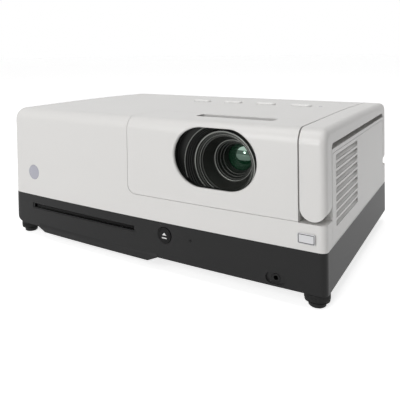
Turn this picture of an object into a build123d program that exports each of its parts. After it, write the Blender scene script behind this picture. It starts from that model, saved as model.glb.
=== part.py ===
from build123d import *
import math
import os

# A table-top projector with a slot-loading disc player in its dark base.
# Millimetres. X to the viewer's right, Y to the back, Z up. The origin is on the
# table under the middle of the case, with the front feet screwed fully in.

# ---- driving dimensions -------------------------------------------------------
width = 340.0
depth = 240.0
front_bow = 3.5
wall = 2.8
foot_height = 13.0
base_height = 32.3
white_height = 91.2
rear_drop = 3.0
drop_start_y = -40.0

left_corner_radius = 9.0
right_corner_radius = 5.5
top_front_radius = 12.0
top_rear_radius = 9.0
base_left_radius = 16.0
seam = 0.3
seat = 0.1
ledge_width = 5.0
ledge_thickness = 2.0

base_z = foot_height
split_z = base_z + base_height
top_z = split_z + white_height
right_x = width / 2
rear_y = depth / 2
bow_radius = (right_x ** 2 + front_bow ** 2) / (2 * front_bow)
beyond = 30.0

# lens, and the window it looks through
lens_x = 81.5
lens_z = split_z + 54.2
window_x = 78.5
window_z = split_z + 60.9
window_radius = 25.3
window_straight = 25.2
window_edge = 1.0
tunnel_wall = 2.0

funnel_front_radius = 34.0
funnel_front_y = -114.8
funnel_rear_radius = 29.2
funnel_rear_y = -108.4
funnel_wall = 2.0
hood_rim_radius = 28.8
hood_rim_y = -108.4
throat_radius = 18.0
throat_y = -90.0
glass_radius = 12.0
glass_y = -75.0
cell_radius = 27.45
running_gap = 0.05
barrel_radius = 31.0
barrel_front_y = -100.5
barrel_rear_y = -24.0
ring_radius = 34.6
ring_width = 6.2
ring_gap = 0.4
focus_ring_y = -90.1
ring_grooves = 24
zoom_cell_y = -62.0
zoom_cell_length = 18.0

# front fascia, a panel let into the case and wrapped over its top edge
fascia_wall = 2.7
fascia_left_x = -9.5
fascia_right_x = 149.2
fascia_bottom_z = split_z + 21.1
fascia_rear_y = -71.5
fascia_corner = 8.0
ring_slot_width = 74.0
ring_slot_depth = 15.0
ring_slot_y = -83.5

# carry handle, a bail along the top right edge with a leg at the front and the back
handle_width = 19.7
handle_leg_depth = 15.8
handle_gap = 0.8
handle_bar_z = split_z + 78.7
handle_pivot_z = split_z + 32.2
handle_inner_radius = 5.0
finger_gap = 4.4
groove_lip = 3.2
leg_floor_gap = 2.0
pin_radius = 3.0
pin_length = 13.0
pin_head_radius = 5.0
pin_head = 2.0

# right side panel and the exhaust louvres in it
panel_bottom_z = split_z + 1.0
panel_corner = 5.0
panel_wall = 2.7
louvre_count = 9
louvre_pitch = 6.4
louvre_height = 3.8
louvre_length = 72.5
louvre_y = -55.8
louvre_top_z = split_z + 66.1
louvre_tilt = 25.0

# disc player
disc_x = -70.5
disc_y = -42.0
disc_radius = 60.0
slot_z = base_z + 21.3
slot_width = 134.4
slot_height = 4.4
slot_border = 2.0
slot_sink = 0.5
drive_width = 149.0
drive_front_y = -113.0
drive_rear_y = 39.0
drive_z = base_z + 4.0
drive_height = 22.0
sheet = 1.2
spindle_radius = 1.0
turntable_radius = 15.0
turntable_z = base_z + 16.8
turntable_height = 1.7
roller_radius = 4.0
roller_waist = 3.3
roller_band = 26.0
roller_length = 122.0
roller_y = -105.0
roller_z = base_z + 15.0
shaft_radius = 1.5
rod_spread = 30.0
rod_y = -25.0
rod_length = 59.0
rod_z = base_z + 10.0
pickup_length = 22.0
pickup_y = -10.0
pickup_travel = 30.0

# front controls
eject_x = 30.0
eject_z = base_z + 21.2
eject_radius = 6.8
button_gap = 0.45
eject_travel = 1.0
sign_depth = 0.35
disc_light_x = 56.0
disc_light_radius = 1.2
jack_x = 131.0
jack_z = base_z + 6.2
jack_radius = 1.8
jack_recess_width = 15.9
jack_recess_height = 9.0
sensor_x = -137.0
sensor_z = base_z + 56.7
sensor_radius = 7.6
badge_x = 155.4
badge_z = base_z + 41.6
badge_width = 13.4
badge_height = 7.8
board = 1.6

# keys on the top
key_names = ["power_button", "source_button", "menu_button", "volume_button"]
key_first_x = -18.0
key_pitch = 40.0
key_y = 34.0
key_length = 22.0
key_width = 9.0
key_rise = 1.6
key_edge = 1.0
key_travel = 0.9

# feet
foot_x = 159.0
foot_y = -107.0
wheel_radius = 9.6
wheel_height = 7.4
wheel_z = 4.4
wheel_edge = 2.4
pad_radius = 6.7
stud_radius = 4.0
stud_length = 29.0
rear_foot_x = 148.0
rear_foot_y = 98.0
rear_foot_radius = 9.0

# swelling under the front edge, below the disc slot
chin_left_x = -131.0
chin_right_x = 22.0
chin_drop = 4.5
chin_length = 60.0
chin_slope = 10.0
chin_lip = 0.9
chin_lip_low = 0.4
chin_lip_high = 2.8

# fans
exhaust_size = 60.0
exhaust_depth = 25.0
exhaust_z = split_z + 40.5
intake_size = 50.0
intake_depth = 15.0
intake_y = 52.0
intake_z = split_z + 40.0
blades = 7

# inside
leg_half = 3.0
frame_z = split_z - 3.0
frame_plate = 1.5
main_board_z = frame_z + frame_plate + 4.5
power_board_z = split_z + 38.0
engine_x = 78.0
engine_y = 23.0
engine_z = split_z + 17.0
engine_width = 95.0
engine_depth = 94.0
engine_height = 60.0

os.makedirs("parts", exist_ok=True)


def save(builder, label):
    builder.part.label = label
    export_step(builder.part, f"parts/{label}.step")
    print(label, round(builder.part.volume), len(builder.part.solids()))


def front_at(x, inset=0.0):
    """Y of the bowed front at a place across the width."""
    middle = -rear_y - front_bow + bow_radius
    return middle - math.sqrt((bow_radius - inset) ** 2 - x ** 2)


def top_at(y):
    """Z of the top, flat in front and then falling gently to the rear."""
    fall_radius = ((rear_y - drop_start_y) ** 2 + rear_drop ** 2) / (2 * rear_drop)
    run = max(y - drop_start_y, 0.0)
    return top_z - fall_radius + math.sqrt(fall_radius ** 2 - run ** 2)


def along_bow(side):
    """A side outline, drawn on the YZ plane, swept along the bowed front."""
    turn = math.degrees(math.asin((right_x + beyond) / bow_radius))
    axis = Axis((0, -rear_y - front_bow + bow_radius, 0), (0, 0, 1))
    swept = revolve(side, axis=axis, revolution_arc=2 * turn, mode=Mode.PRIVATE)
    middle = swept.rotate(axis, -turn)
    return middle if middle.bounding_box().max.X > right_x else swept.rotate(axis, turn)


def envelope(inset):
    """The white case's outer form, drawn in all round by an inset."""
    front = front_at(0, inset)
    rear = rear_y - inset
    top = top_z - inset
    with BuildPart(mode=Mode.PRIVATE):
        with BuildSketch(Plane.YZ) as side:
            with BuildLine():
                flat = Line((front, top), (drop_start_y, top))
                fall = TangentArc(flat @ 1, (rear_y, top - rear_drop), tangent=(1, 0))
                run_out = Line(fall @ 1, (rear_y + beyond, top - rear_drop - 1))
                Polyline(run_out @ 1, (rear_y + beyond, split_z), (front, split_z), flat @ 0)
            make_face()
            fillet(side.vertices().sort_by(lambda v: v.Y - v.X)[-1], top_front_radius - inset)
    with BuildPart(mode=Mode.PRIVATE) as cut:
        add(along_bow(side.sketch))
        with Locations((0, rear - depth, split_z)):
            Box(width - 2 * inset, 2 * depth, 4 * white_height, mode=Mode.INTERSECT)
        fillet(cut.edges().filter_by(lambda e: abs(e.center().Y - rear) < 0.1
                                     and e.center().Z > top - 2 * rear_drop), top_rear_radius - inset)
        for x, radius in ((-right_x + inset, left_corner_radius), (right_x - inset, right_corner_radius)):
            if radius > inset + 0.2:
                fillet(cut.edges().filter_by(lambda e: abs(e.center().X - x) < 0.1
                                             and e.center().Z > split_z + 1), radius - inset)
    return cut.part


def plan_column(inset, floor_z):
    """The plan of the case, drawn in by an inset, from a floor up to the seam."""
    x = right_x - inset
    with BuildPart(mode=Mode.PRIVATE) as column:
        with BuildSketch(Plane.XY.offset(floor_z)) as plan:
            with BuildLine():
                bow = ThreePointArc((-x, front_at(x, inset)), (0, front_at(0, inset)), (x, front_at(x, inset)))
                Polyline(bow @ 1, (x, rear_y - inset), (-x, rear_y - inset), bow @ 0)
            make_face()
            fillet(plan.vertices().group_by(Axis.X)[0], left_corner_radius - inset)
            fillet(plan.vertices().group_by(Axis.X)[-1], right_corner_radius - inset)
        extrude(amount=split_z - floor_z)
    return column.part


def base_form(inset, floor_z):
    """The dark base's outer form, drawn in by an inset, from a floor up to the seam."""
    with BuildPart(mode=Mode.PRIVATE) as form:
        add(plan_column(inset, floor_z))
        with BuildSketch(Plane.XZ) as section:
            with Locations((0, (floor_z + split_z) / 2)):
                Rectangle(width - 2 * inset, split_z - floor_z)
            fillet(section.vertices().sort_by(lambda v: v.X + v.Y)[0], base_left_radius - inset)
        extrude(amount=depth, both=True, mode=Mode.INTERSECT)
    return form.part


def chin_form(top):
    """The swelling under the front edge, wider at its top than at its bottom."""
    with BuildPart(mode=Mode.PRIVATE) as chin:
        with BuildSketch(Plane.XZ.offset(rear_y - chin_length)):
            with BuildLine():
                Polyline((chin_left_x, top), (chin_left_x, base_z), (chin_left_x + chin_slope, base_z - chin_drop),
                         (chin_right_x - chin_slope, base_z - chin_drop), (chin_right_x, base_z),
                         (chin_right_x, top), close=True)
            make_face()
        extrude(amount=chin_length + beyond)
    return chin.part


def handle_pocket(grow):
    """The space the handle folds into: two leg recesses joined by a shoulder."""
    inner_x = right_x - handle_width - handle_gap - grow
    inner_y = rear_y - handle_leg_depth - handle_gap - grow
    floor_z = handle_pivot_z - handle_width / 2 - leg_floor_gap - grow
    shoulder_z = handle_bar_z - finger_gap - grow
    out_x, out_y, out_z = right_x + beyond, rear_y + beyond, top_z + beyond
    with BuildPart(mode=Mode.PRIVATE) as pocket:
        for side in (-1, 1):
            with Locations(((inner_x + out_x) / 2, side * (inner_y + out_y) / 2, (floor_z + out_z) / 2)):
                Box(out_x - inner_x, out_y - inner_y, out_z - floor_z)
        with Locations(((inner_x + out_x) / 2, 0, (shoulder_z + out_z) / 2)):
            Box(out_x - inner_x, 2 * out_y, out_z - shoulder_z)
    return pocket.part


def fascia_region(grow):
    """The part of the case that the fascia covers, as a block with rounded corners."""
    left, right = fascia_left_x - grow, fascia_right_x + max(grow, 0) * 4
    bottom, rear = fascia_bottom_z - grow, fascia_rear_y + grow
    front, top = -rear_y - beyond, top_z + beyond
    with BuildPart(mode=Mode.PRIVATE) as region:
        with BuildSketch(Plane.XZ.offset(-rear)) as face:
            with Locations(((left + right) / 2, (bottom + top) / 2)):
                Rectangle(right - left, top - bottom)
            fillet(face.vertices().sort_by(lambda v: v.X + v.Y)[0], fascia_corner)
        extrude(amount=rear - front)
        corner = region.edges().filter_by(Axis.Z).filter_by(
            lambda e: e.center().X < left + 1 and e.center().Y > rear - 1)
        fillet(corner, fascia_corner)
    return region.part


def stadium(radius, from_y, to_y):
    """A bar with the lens window's outline, lying along Y."""
    with BuildPart(mode=Mode.PRIVATE) as bar:
        with BuildSketch(Plane.XZ.offset(-to_y)):
            with Locations((window_x, window_z)):
                SlotCenterToCenter(window_straight, 2 * radius)
        extrude(amount=to_y - from_y)
    return bar.part


def turned(points, x=lens_x, z=lens_z):
    """A ring or tube turned about an axis along Y, from (radius, y) points."""
    with BuildPart(mode=Mode.PRIVATE) as ring:
        with BuildSketch(Plane(origin=(x, 0, z), z_dir=(0, 0, 1))):
            with BuildLine():
                Polyline(*points, close=True)
            make_face()
        revolve(axis=Axis((x, 0, z), (0, 1, 0)))
    return ring.part


def block(x0, x1, y0, y1, z0, z1):
    """A box between two corners."""
    with BuildPart(mode=Mode.PRIVATE) as box:
        with Locations(((x0 + x1) / 2, (y0 + y1) / 2, (z0 + z1) / 2)):
            Box(x1 - x0, y1 - y0, z1 - z0)
    return box.part


def post(x, y, z0, z1, radius):
    """An upright round bar."""
    with BuildPart(mode=Mode.PRIVATE) as bar:
        with Locations((x, y, (z0 + z1) / 2)):
            Cylinder(radius, z1 - z0)
    return bar.part


def leg(x, y, z0, z1):
    """An upright square bar."""
    return block(x - leg_half, x + leg_half, y - leg_half, y + leg_half, z0, z1)


def bar_y(x, z, y0, y1, radius):
    """A round bar lying along Y."""
    with BuildPart(mode=Mode.PRIVATE) as bar:
        with Locations((x, (y0 + y1) / 2, z)):
            Cylinder(radius, y1 - y0, rotation=(90, 0, 0))
    return bar.part


def bar_x(y, z, x0, x1, radius):
    """A round bar lying along X."""
    with BuildPart(mode=Mode.PRIVATE) as bar:
        with Locations(((x0 + x1) / 2, y, z)):
            Cylinder(radius, x1 - x0, rotation=(0, 90, 0))
    return bar.part


# ---- where the fixings stand --------------------------------------------------
case_screw_places = [(-160.0, -84.0), (-160.0, 104.0), (105.0, -113.6), (140.0, 111.0)]
frame_posts = [(-150.5, -60.0), (-150.5, 60.0), (-70.0, 60.0), (12.0, -60.0), (12.0, 60.0),
               (90.0, -60.0), (90.0, 60.0), (140.0, -60.0), (140.0, 60.0)]
post_radius = 4.0
screw_radius = 1.5
screw_head_radius = 2.8
screw_head = 2.0
screw_boss_radius = 4.6
screw_boss = 16.0
floor_top = base_z + wall

# ---- dark base ----------------------------------------------------------------
with BuildPart() as lower_case:
    add(base_form(0, base_z))
    add(base_form(wall, floor_top), mode=Mode.SUBTRACT)
    for x, y in frame_posts:
        add(post(x, y, floor_top, frame_z, post_radius))
    for x, y in case_screw_places:
        add(post(x, y, floor_top, split_z, screw_boss_radius))
    for side in (-1, 1):
        add(post(side * foot_x, foot_y, floor_top, base_z + stud_length, 2 * stud_radius))
    for x in (disc_x - drive_width / 2 + 12, disc_x + drive_width / 2 - 12):
        for y in (drive_front_y + 12, drive_rear_y - 12):
            add(post(x, y, floor_top, drive_z, post_radius))
    add(base_form(0, base_z), mode=Mode.INTERSECT)
    # swelling under the front edge, and the sloped lip along its top
    add(chin_form(base_z + 1) & plan_column(0, 0))
    with BuildSketch(Plane.YZ, mode=Mode.PRIVATE) as lip_section:
        with BuildLine():
            y = front_at(0)
            Polyline((y - chin_lip, base_z - chin_drop), (y - chin_lip, base_z + chin_lip_low), (y, base_z + chin_lip_high),
                     (y + wall, base_z + chin_lip_high), (y + wall, base_z - chin_drop), close=True)
        make_face()
    add(along_bow(lip_section.sketch) & chin_form(split_z))
    for x, y in case_screw_places:
        add(post(x, y, base_z, split_z, screw_radius + 0.2), mode=Mode.SUBTRACT)
        add(post(x, y, base_z, base_z + wall + 6, screw_head_radius + 0.4), mode=Mode.SUBTRACT)
    for side in (-1, 1):
        add(post(side * foot_x, foot_y, base_z, split_z, stud_radius + running_gap), mode=Mode.SUBTRACT)
    # disc slot in its shallow recess, eject button hole, disc light and headphone recess
    with BuildSketch(Plane.XZ.offset(rear_y - wall), mode=Mode.PRIVATE) as border:
        with Locations((disc_x, slot_z)):
            RectangleRounded(slot_width + 2 * slot_border, slot_height + slot_border, 1)
    recess = extrude(border.sketch, amount=beyond, mode=Mode.PRIVATE)
    add(recess - plan_column(slot_sink, 0), mode=Mode.SUBTRACT)
    add(block(disc_x - slot_width / 2, disc_x + slot_width / 2, -rear_y - beyond, drive_front_y,
              slot_z - slot_height / 2, slot_z + slot_height / 2), mode=Mode.SUBTRACT)
    add(bar_y(eject_x, eject_z, -rear_y - beyond, drive_front_y, eject_radius + button_gap), mode=Mode.SUBTRACT)
    add(bar_y(disc_light_x, eject_z, -rear_y - beyond, drive_front_y, disc_light_radius + 0.1), mode=Mode.SUBTRACT)
    with BuildSketch(Plane.XZ.offset(rear_y)):
        with Locations((jack_x, jack_z)):
            SlotOverall(jack_recess_width, jack_recess_height)
    extrude(amount=beyond, mode=Mode.SUBTRACT)
    add(bar_y(jack_x, jack_z, -rear_y - beyond, drive_front_y, jack_radius + 1.7), mode=Mode.SUBTRACT)
save(lower_case, "lower_case")

# ---- white case ---------------------------------------------------------------
outer = envelope(0)
inner = envelope(wall)
lip = envelope(wall + ledge_thickness)
skin = outer - inner
ledge = inner - lip
panel_top_z = handle_bar_z - finger_gap - groove_lip
panel_half = rear_y - handle_leg_depth - handle_gap - 0.2
rear_panel_half = 95.0
rear_panel_bottom = split_z + 4.0
rear_panel_top = split_z + 70.0
speaker_x = 120.0
speaker_z = split_z + 40.0
speaker_radius = 20.0
grille_slots = 7
grille_pitch = 5.0
grille_height = 2.2
panel_recess = 4.6
bay_y = rear_y - panel_recess

with BuildPart() as upper_case:
    add(outer)
    add(inner - handle_pocket(wall), mode=Mode.SUBTRACT)
    # seat of the fascia
    add(skin & fascia_region(seam), mode=Mode.SUBTRACT)
    add(ledge & (fascia_region(ledge_width) - fascia_region(-ledge_width + 2.5))
        & block(-right_x, right_x - handle_width - handle_gap, -rear_y - beyond, rear_y, 0, top_z + beyond))
    # seat of the side panel
    with BuildSketch(Plane.YZ.offset(right_x - wall)) as face:
        with Locations((0, (panel_bottom_z + panel_top_z) / 2)):
            Rectangle(2 * (panel_half + seam), panel_top_z - panel_bottom_z + 2 * seam)
        fillet(face.vertices().group_by(Axis.Y)[-1], panel_corner + seam)
    extrude(amount=wall + 1, mode=Mode.SUBTRACT)
    add(block(right_x - wall - ledge_thickness, right_x - wall, -panel_half - ledge_width, panel_half + ledge_width,
              split_z, panel_top_z + 0.5)
        - block(right_x - beyond, right_x, -panel_half + ledge_width, panel_half - ledge_width,
                panel_bottom_z + ledge_width, panel_top_z - 0.5))
    # bay for the rear panel, sunk so that its sockets stay within the case's depth
    add(block(-rear_panel_half - 3, rear_panel_half + 3, bay_y - wall - ledge_thickness, rear_y - wall,
              rear_panel_bottom - 3, rear_panel_top + 3)
        - block(-rear_panel_half + 3, rear_panel_half - 3, rear_y - beyond, rear_y,
                rear_panel_bottom + 3, rear_panel_top - 3)
        - block(-rear_panel_half + 30, rear_panel_half - 30, rear_y - beyond, rear_y,
                rear_panel_bottom - seam, rear_panel_top - 3))
    add(block(-rear_panel_half - seam, rear_panel_half + seam, bay_y - wall, rear_y + 1,
              rear_panel_bottom - seam, rear_panel_top + seam), mode=Mode.SUBTRACT)
    for x, y in case_screw_places:
        add(post(x, y, split_z, split_z + screw_boss, screw_boss_radius))
        web_x, web_y = (-right_x + wall / 2, y) if x < 0 else (x, math.copysign(rear_y - wall / 2, y))
        add(block(min(x, web_x) - 1, max(x, web_x) + 1, min(y, web_y) - 1, max(y, web_y) + 1,
                  split_z, split_z + screw_boss))
    # posts that carry the key board
    for x in (key_first_x + key_pitch / 2, key_first_x + 5 * key_pitch / 2):
        add(post(x, key_y, top_z - 9, top_z - wall - 0.5, 3.0))
    # collar round each handle pin, on the inside of its recess
    for side in (-1, 1):
        y = side * (panel_half - wall)
        add(bar_y(right_x - handle_width / 2, handle_pivot_z, min(y, y - side * 3), max(y, y - side * 3),
                  pin_head_radius + 2) & inner)
    add(handle_pocket(0), mode=Mode.SUBTRACT)
    for side in (-1, 1):
        add(bar_y(right_x - handle_width / 2, handle_pivot_z, min(0, side * rear_y), max(0, side * rear_y),
                  pin_radius + 0.02), mode=Mode.SUBTRACT)
    for x, y in case_screw_places:
        add(post(x, y, split_z, split_z + screw_boss - 3, screw_radius), mode=Mode.SUBTRACT)
    # holes for the keys, the status light, the sensor window and the speaker grilles
    for i in range(len(key_names)):
        with BuildSketch(Plane.XY.offset(top_z + 1)):
            with Locations((key_first_x + i * key_pitch, key_y)):
                SlotOverall(key_length + 2 * button_gap, key_width + 2 * button_gap)
        extrude(amount=-beyond / 3, mode=Mode.SUBTRACT)
    add(post(key_first_x + 3.5 * key_pitch, key_y, top_z - 8, top_z + 1, 2.1), mode=Mode.SUBTRACT)
    add(bar_y(sensor_x, sensor_z, -rear_y - beyond, -rear_y + beyond, sensor_radius + 0.1), mode=Mode.SUBTRACT)
    for side in (-1, 1):
        for i in range(grille_slots):
            z = (i - (grille_slots - 1) / 2) * grille_pitch
            half = math.sqrt((speaker_radius - 2) ** 2 - z ** 2)
            z += speaker_z
            add(block(side * speaker_x - half, side * speaker_x + half, rear_y - wall - 1, rear_y + 1,
                      z - grille_height / 2, z + grille_height / 2), mode=Mode.SUBTRACT)
    # intake louvres in the left wall
    for i in range(louvre_count - 1):
        with Locations(Location((-right_x, intake_y, intake_z + (i - 3.5) * louvre_pitch), (0, louvre_tilt, 0))):
            Box(4 * wall, louvre_length - 6, louvre_height, mode=Mode.SUBTRACT)
save(upper_case, "upper_case")

# ---- panels -------------------------------------------------------------------
with BuildPart() as front_fascia:
    add((outer - envelope(fascia_wall)) & fascia_region(0))
    add(stadium(window_radius, -rear_y - beyond, fascia_rear_y), mode=Mode.SUBTRACT)
    chamfer(front_fascia.edges().filter_by(lambda e: abs(e.center().X - window_x) < window_straight
                                           + window_radius and e.center().Y < front_at(right_x) - 1
                                           and abs(e.center().Z - window_z) < window_radius + 1), window_edge)
    with BuildSketch(Plane.XY.offset(top_z + 1)) as slot:
        with Locations((lens_x, ring_slot_y)):
            RectangleRounded(ring_slot_width, ring_slot_depth, 3)
    extrude(amount=-wall - 3, mode=Mode.SUBTRACT)
save(front_fascia, "front_fascia")

with BuildPart() as side_panel:
    with BuildSketch(Plane.YZ.offset(right_x - panel_wall)) as face:
        with Locations((0, (panel_bottom_z + panel_top_z) / 2)):
            Rectangle(2 * panel_half, panel_top_z - panel_bottom_z)
        fillet(face.vertices().group_by(Axis.Y)[-1], panel_corner)
    extrude(amount=panel_wall)
    for i in range(louvre_count):
        with Locations(Location((right_x, louvre_y, louvre_top_z - i * louvre_pitch), (0, -louvre_tilt, 0))):
            Box(4 * wall, louvre_length, louvre_height, mode=Mode.SUBTRACT)
save(side_panel, "side_panel")

inlet_x, inlet_z = -72.0, split_z + 36.0
inlet_width, inlet_height = 27.0, 19.6
vga_x = -30.0
rca_first_x, rca_pitch, rca_count = 8.0, 18.0, 3
socket_z = main_board_z + board + 7.0
rear_plate = 2.3
socket_face = bay_y - 0.4
socket_reach = rear_y + front_bow + chin_lip
socket_radius = 4.15
socket_collar = 5.0

with BuildPart() as rear_panel:
    with BuildSketch(Plane.XZ.offset(-socket_face)) as face:
        with Locations((0, (rear_panel_bottom + rear_panel_top) / 2)):
            Rectangle(2 * rear_panel_half, rear_panel_top - rear_panel_bottom)
        with Locations((inlet_x, inlet_z)):
            Rectangle(inlet_width + 0.4, inlet_height + 0.4, mode=Mode.SUBTRACT)
        with Locations((vga_x, socket_z)):
            Rectangle(31.2, 12.8, mode=Mode.SUBTRACT)
        for i in range(rca_count):
            with Locations((rca_first_x + i * rca_pitch, socket_z)):
                Circle(socket_collar + 0.2, mode=Mode.SUBTRACT)
        for i in range(6):
            with Locations((72.0, rear_panel_top - 12 - i * louvre_pitch)):
                Rectangle(34, 3.0, mode=Mode.SUBTRACT)
    extrude(amount=rear_plate)
save(rear_panel, "rear_panel")

# ---- carry handle -------------------------------------------------------------
pivot_x = right_x - handle_width / 2
leg_inner_y = rear_y - handle_leg_depth

with BuildPart() as carry_handle:
    with BuildSketch(Plane.YZ.offset(right_x - handle_width)):
        with Locations((0, top_z)):
            Rectangle(2 * (rear_y + beyond), 4 * white_height)
        with BuildSketch(mode=Mode.SUBTRACT) as grip:
            with Locations((0, handle_bar_z - 2 * white_height)):
                Rectangle(2 * leg_inner_y, 4 * white_height)
            fillet(grip.vertices().group_by(Axis.Y)[-1], handle_inner_radius)
    extrude(amount=handle_width + 1)
    with BuildSketch(Plane.XZ.offset(-rear_y - beyond)):
        with Locations((pivot_x, handle_pivot_z + 50)):
            Rectangle(handle_width, 100)
        with Locations((pivot_x, handle_pivot_z)):
            Circle(handle_width / 2)
    extrude(amount=2 * (rear_y + beyond), mode=Mode.INTERSECT)
    add(outer, mode=Mode.INTERSECT)
    for side in (-1, 1):
        ends = (side * (leg_inner_y - 1), side * (leg_inner_y + pin_length + 0.3))
        add(bar_y(pivot_x, handle_pivot_z, min(ends), max(ends), pin_radius + running_gap), mode=Mode.SUBTRACT)
save(carry_handle, "carry_handle")

with BuildPart() as handle_pins:
    for side in (-1, 1):
        ends = (side * (leg_inner_y + pin_length), side * (panel_half - wall - 3 - pin_head))
        add(bar_y(pivot_x, handle_pivot_z, min(ends), max(ends), pin_radius))
        ends = (side * (panel_half - wall - 3), side * (panel_half - wall - 3 - pin_head))
        add(bar_y(pivot_x, handle_pivot_z, min(ends), max(ends), pin_head_radius))
save(handle_pins, "handle_pins")

# ---- lens ---------------------------------------------------------------------
with BuildPart() as lens_shroud:
    add(turned([(funnel_front_radius, funnel_front_y), (funnel_rear_radius, funnel_rear_y),
                (funnel_rear_radius, funnel_rear_y + 6), (funnel_rear_radius + funnel_wall, funnel_rear_y + 6),
                (funnel_rear_radius + funnel_wall, funnel_rear_y + 1),
                (funnel_front_radius + funnel_wall, funnel_front_y + 1.5),
                (funnel_front_radius + funnel_wall, funnel_front_y)]))
    add(stadium(window_radius + 7, funnel_front_y, funnel_front_y + 1.5)
        - bar_y(lens_x, lens_z, -rear_y, rear_y, funnel_front_radius + 1))
    add(envelope(wall + ledge_thickness + 0.5), mode=Mode.INTERSECT)
    # tunnel from the window's edge back to the funnel
    add((stadium(window_radius + tunnel_wall, -rear_y - beyond, funnel_front_y + 1)
         - stadium(window_radius + 0.1, -rear_y - beyond, funnel_front_y)
         - bar_y(lens_x, lens_z, funnel_front_y - 0.5, rear_y, funnel_front_radius + 1)) & envelope(fascia_wall + seat))
save(lens_shroud, "lens_shroud")

hood_wall = 1.6
hood_rear_y = -66.0
lens_seat_radius = 14.0
hood_steps = 4
hood_step = 1.6
hood_step_in = 1.4
hood_step_radius = 27.2
hood_baffles = 3
hood_baffle = 3.5
hood_baffle_in = 1.4
baffle_y = glass_y - 3 - hood_baffles * hood_baffle

with BuildPart() as lens_hood:
    # four steps, a smooth cone, a bright ring and then the dark baffles down to the glass
    steps = []
    for i in range(hood_steps):
        steps += [(hood_step_radius - i * hood_step_in, hood_rim_y + i * hood_step),
                  (hood_step_radius - i * hood_step_in - 0.4, hood_rim_y + (i + 1) * hood_step)]
    baffles = []
    for i in range(hood_baffles):
        baffles += [(glass_radius + (hood_baffles - i) * hood_baffle_in, baffle_y + i * hood_baffle),
                    (glass_radius + (hood_baffles - i) * hood_baffle_in - 0.6, baffle_y + (i + 1) * hood_baffle)]
    add(turned([(hood_rim_radius, hood_rim_y + 0.8), (hood_rim_radius, hood_rim_y + 4.4),
                (cell_radius, hood_rim_y + 5.0), (cell_radius, hood_rear_y), (cell_radius - hood_wall, hood_rear_y),
                (cell_radius - hood_wall, throat_y - 8.5), (throat_radius + 2, throat_y + 1),
                (lens_seat_radius + hood_wall + 0.4, hood_rear_y - 12), (lens_seat_radius + hood_wall + 0.4, hood_rear_y),
                (lens_seat_radius, hood_rear_y), (lens_seat_radius, glass_y), (glass_radius, glass_y)]
               + baffles[::-1]
               + [(throat_radius - 0.8, baffle_y), (throat_radius - 0.8, throat_y), (throat_radius + 0.6, throat_y - 1.0)]
               + steps[::-1] + [(hood_rim_radius - 0.8, hood_rim_y)]))
    # five ribs that carry the throat inside the sliding cell
    for i in range(5):
        rib = block(lens_x + lens_seat_radius + 1, lens_x + cell_radius - 0.5, glass_y - 3, hood_rear_y,
                    lens_z - 0.8, lens_z + 0.8)
        add(rib.rotate(Axis((lens_x, 0, lens_z), (0, 1, 0)), i * 72))
save(lens_hood, "lens_hood")

with BuildPart() as front_lens:
    bulge = 2.2
    with BuildSketch(Plane(origin=(lens_x, 0, lens_z), z_dir=(0, 0, 1))):
        with BuildLine():
            dome = ThreePointArc((0, glass_y - bulge + 0.1), (glass_radius / 2, glass_y - bulge * 0.72),
                                 (glass_radius - 0.2, glass_y + 0.1))
            Polyline(dome @ 1, (lens_seat_radius - 0.02, glass_y + 0.1), (lens_seat_radius - 0.02, hood_rear_y + 1),
                     (0, hood_rear_y + 1), dome @ 0)
        make_face()
    revolve(axis=Axis((lens_x, 0, lens_z), (0, 1, 0)))
save(front_lens, "front_lens")

focus_end_y = focus_ring_y + ring_width
zoom_ring_y = focus_end_y + ring_gap
zoom_end_y = zoom_ring_y + ring_width
collar_radius = ring_radius - 1.6
bore = cell_radius + running_gap
engine_front_y = engine_y - engine_depth / 2

with BuildPart() as lens_barrel:
    add(turned([(bore, barrel_front_y), (barrel_radius, barrel_front_y), (barrel_radius, zoom_end_y + 2.0),
                (barrel_radius, barrel_rear_y - 3), (collar_radius, barrel_rear_y - 3),
                (collar_radius, barrel_rear_y), (bore, barrel_rear_y)]))
    for y in (focus_ring_y - 1.6, zoom_end_y + 0.1):
        add(turned([(barrel_radius - 1, y), (collar_radius, y), (collar_radius, y + 1.5), (barrel_radius - 1, y + 1.5)]))
    # slots for the pins that turn into slides
    add(block(lens_x - 2, lens_x + 2, focus_ring_y + 0.5, focus_end_y - 0.5, lens_z - ring_radius, lens_z),
        mode=Mode.SUBTRACT)
    add(block(lens_x - 2, lens_x + 2, zoom_cell_y + 1, zoom_cell_y + 18, lens_z - ring_radius, lens_z),
        mode=Mode.SUBTRACT)
save(lens_barrel, "lens_barrel")

for label, y in (("focus_ring", focus_ring_y), ("zoom_ring", zoom_ring_y)):
    with BuildPart() as ring:
        add(turned([(barrel_radius + running_gap, y), (ring_radius, y), (ring_radius, y + ring_width),
                    (barrel_radius + running_gap, y + ring_width)]))
        with BuildSketch(Plane.XZ.offset(-y - ring_width)):
            with Locations((lens_x, lens_z)):
                with PolarLocations(ring_radius, ring_grooves):
                    Rectangle(1.6, 1.6)
        extrude(amount=ring_width, mode=Mode.SUBTRACT)
    save(ring, label)

with BuildPart() as zoom_cell:
    y0, y1 = zoom_cell_y, zoom_cell_y + zoom_cell_length
    add(turned([(lens_seat_radius + 6, y0 + 1), (cell_radius, y0 + 1), (cell_radius, y1), (cell_radius - 2, y1),
                (cell_radius - 2, y0 + 8), (lens_seat_radius + 8, y0 + 8), (lens_seat_radius + 8, y0 + 6),
                (lens_seat_radius + 6, y0 + 6)]))
save(zoom_cell, "zoom_cell")

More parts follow.
